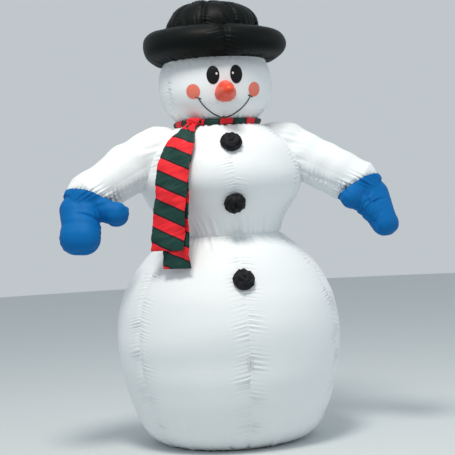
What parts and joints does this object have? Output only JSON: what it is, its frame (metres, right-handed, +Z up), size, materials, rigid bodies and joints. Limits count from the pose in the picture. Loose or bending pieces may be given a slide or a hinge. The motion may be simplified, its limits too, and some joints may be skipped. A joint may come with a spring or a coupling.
{
  "type": "inflatable yard snowman",
  "caption": "Large fan-filled nylon yard snowman with hat, striped scarf, puff buttons, blue mittens, inner lights, rear blower, deflation zip and hold-downs.",
  "frame": {"origin": "centre of the base panel on the ground", "axes": "+Z up, the figure faces -Y, its own left hand at +X"},
  "size_m": [1.8934, 1.24, 2.44],
  "materials": {
    "white_nylon": "thin coated nylon",
    "black_nylon": "thin coated nylon",
    "black_nylon_base": "coated nylon",
    "blue_nylon": "thin coated nylon",
    "eye_black": "printed patch",
    "eye_white": "printed patch",
    "cheek_salmon": "printed patch",
    "mouth_black": "stitched cord",
    "nose_orange": "thin coated nylon",
    "button_black": "gathered nylon",
    "scarf_red": "striped nylon",
    "scarf_green": "striped nylon",
    "grey_plastic": "moulded",
    "black_plastic": "moulded",
    "black_rubber": "satin",
    "zinc_steel": "satin",
    "brass_eyelet": "pressed",
    "zip_tape": "woven tape",
    "zip_teeth": "moulded",
    "webbing": "woven",
    "bulb_glass": "clear"
  },
  "bodies": {
    "figure": {"base_panel": "black_nylon_base", "lower_ball_gores": "white_nylon", "waist_baffle": "white_nylon", "torso_gores": "white_nylon", "neck_baffle": "white_nylon", "head_panels": "white_nylon", "hat_baffle": "white_nylon", "hat_brim": "black_nylon", "hat_crown": "black_nylon", "left_eye": "eye_black", "right_eye": "eye_black", "eye_highlights": "eye_white", "left_cheek": "cheek_salmon", "right_cheek": "cheek_salmon", "mouth_line": "mouth_black", "nose_cone": "nose_orange", "top_button": "button_black", "middle_button": "button_black", "bottom_button": "button_black", "scarf_wrap": "scarf_red", "scarf_knot": "scarf_red", "blower_collar": "white_nylon", "collar_clamp_band": "zinc_steel", "blower_housing": "grey_plastic", "inlet_grille": "grey_plastic", "outlet_guard": "grey_plastic", "grille_screws": "zinc_steel", "motor_can": "zinc_steel", "motor_spider": "grey_plastic", "cord_gland": "black_rubber", "zipper_tapes": "zip_tape", "zipper_teeth": "zip_teeth", "zipper_stops": "zinc_steel", "base_weight_pouch": "black_nylon_base", "light_hanger_strap": "webbing", "lamp_sockets": "black_plastic", "lamp_bulbs": "bulb_glass", "lamp_cages": "black_plastic", "lamp_lead": "black_rubber", "stake_tabs": "webbing", "stake_grommets": "brass_eyelet", "tether_tabs": "webbing"},
    "left_arm": {"left_sleeve": "white_nylon", "left_mitten": "blue_nylon"},
    "right_arm": {"right_sleeve": "white_nylon", "right_mitten": "blue_nylon"},
    "scarf_tails": {"scarf_front_tail": "scarf_green", "scarf_rear_tail": "scarf_green"},
    "fan_rotor": {"motor_shaft": "zinc_steel", "impeller": "grey_plastic"},
    "zip_slider_body": {"zip_slider": "zinc_steel"},
    "zip_pull_body": {"zip_pull": "zinc_steel"},
    "left_ring": {"left_tether_ring": "zinc_steel"},
    "right_ring": {"right_tether_ring": "zinc_steel"}
  },
  "joints": [
    {"name": "left_arm_sway", "type": "hinge", "parent": "figure", "child": "left_arm", "pos_m": [0.3, 0, 1.625], "axis": [0, -1, 0], "range_deg": [-10, 10], "stiffness_Nm_per_rad": 30},
    {"name": "right_arm_sway", "type": "hinge", "parent": "figure", "child": "right_arm", "pos_m": [-0.3, 0, 1.625], "axis": [0, 1, 0], "range_deg": [-10, 10], "stiffness_Nm_per_rad": 30},
    {"name": "scarf_swing", "type": "hinge", "parent": "figure", "child": "scarf_tails", "pos_m": [-0.17869, -0.21296, 1.754], "axis": [-0.766, 0.6428, 0], "range_deg": [0, 35]},
    {"name": "fan_spin", "type": "hinge", "parent": "figure", "child": "fan_rotor", "pos_m": [0, 0.47, 0.205], "axis": [0, 1, 0], "continuous": true},
    {"name": "zip_run", "type": "hinge", "parent": "figure", "child": "zip_slider_body", "pos_m": [0, 0, 0.6], "axis": [1, 0, 0], "range_deg": [-31, 0]},
    {"name": "pull_fold", "type": "hinge", "parent": "zip_slider_body", "child": "zip_pull_body", "pos_m": [0, 0.47918, 1.01361], "axis": [1, 0, 0], "range_deg": [0, 120]},
    {"name": "left_ring_turn", "type": "hinge", "parent": "figure", "child": "left_ring", "pos_m": [0.3005, 0.35813, 1.45], "axis": [0.766, -0.6428, 0], "range_deg": [0, 110]},
    {"name": "right_ring_turn", "type": "hinge", "parent": "figure", "child": "right_ring", "pos_m": [-0.3005, 0.35813, 1.45], "axis": [0.766, 0.6428, 0], "range_deg": [0, 110]}
  ]
}
